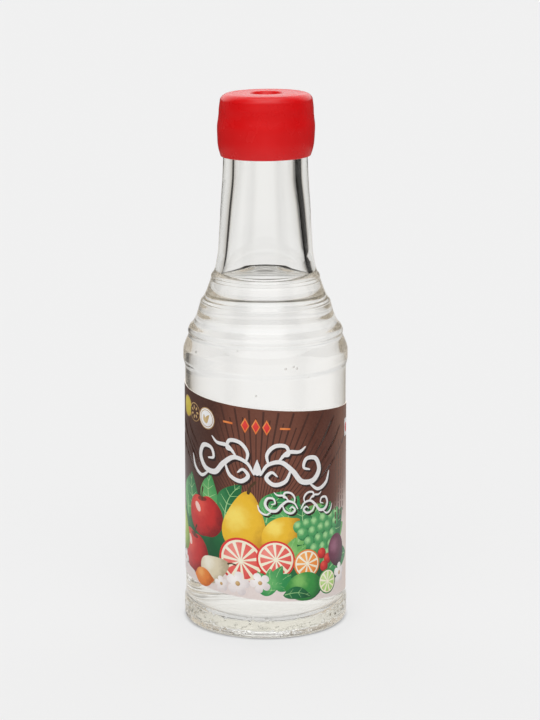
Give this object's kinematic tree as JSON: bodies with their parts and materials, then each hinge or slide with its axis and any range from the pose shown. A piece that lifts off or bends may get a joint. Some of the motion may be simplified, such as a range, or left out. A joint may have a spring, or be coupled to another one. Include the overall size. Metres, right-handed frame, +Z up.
{
  "type": "vinegar bottle",
  "caption": "Small round clear glass bottle with a stepped shoulder and tapering neck, filled with clear vinegar, with a pressed-on red cap and a wrapped paper label.",
  "frame": {"origin": "middle of the base, at the height of the bearing ring", "axes": "+Z up along the bottle's axis, the front of the label faces -Y, +X is to the right seen from the front"},
  "size_m": [0.0512, 0.0512, 0.1645],
  "materials": {
    "clear_glass": "clear moulded glass with a faint warm tint, smooth and glossy, stippled round the heel",
    "vinegar_liquid": "clear colourless liquid with a faint beige cast",
    "red_cap": "opaque red soft plastic, satin gloss with fine moulding marks",
    "label_paper": "coated paper, glossy, printed in dark brown with coloured motifs, plain white back"
  },
  "bodies": {
    "root": {"glass_bottle": "clear_glass", "vinegar": "vinegar_liquid", "cap": "red_cap", "label": "label_paper"}
  },
  "joints": []
}
